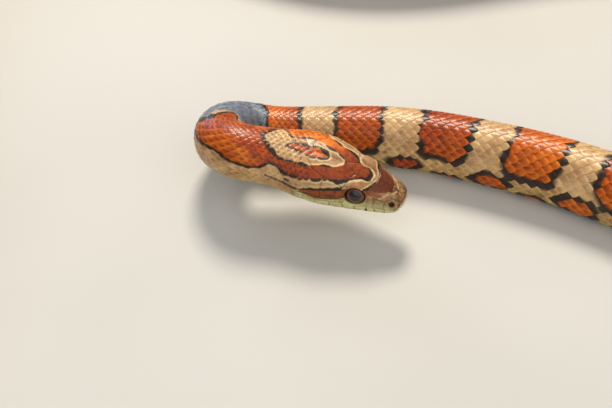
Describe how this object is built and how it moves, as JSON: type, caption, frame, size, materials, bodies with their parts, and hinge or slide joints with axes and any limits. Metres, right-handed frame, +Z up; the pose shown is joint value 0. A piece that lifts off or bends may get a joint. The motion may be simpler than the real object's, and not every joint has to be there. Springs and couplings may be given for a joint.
{
  "type": "corn snake model",
  "caption": "Still, life-size young corn snake lying on its belly, head and neck raised a little, neck doubled back behind the head.",
  "frame": {"origin": "middle of the whole outline, on the floor that the belly rests on", "axes": "+Z up; the head points along +X and about 21 degrees towards -Y; the tail ends on the -Y side"},
  "size_m": [0.2306, 0.2402, 0.0154],
  "materials": {
    "head_scales": "satin scaled skin",
    "body_scales": "satin scaled skin",
    "eye": "polished"
  },
  "bodies": {
    "root": {"head": "head_scales", "neck": "body_scales", "trunk_1": "body_scales", "trunk_2": "body_scales", "trunk_3": "body_scales", "trunk_4": "body_scales", "trunk_5": "body_scales", "tail": "body_scales", "eye_left": "eye", "eye_right": "eye"}
  },
  "joints": []
}
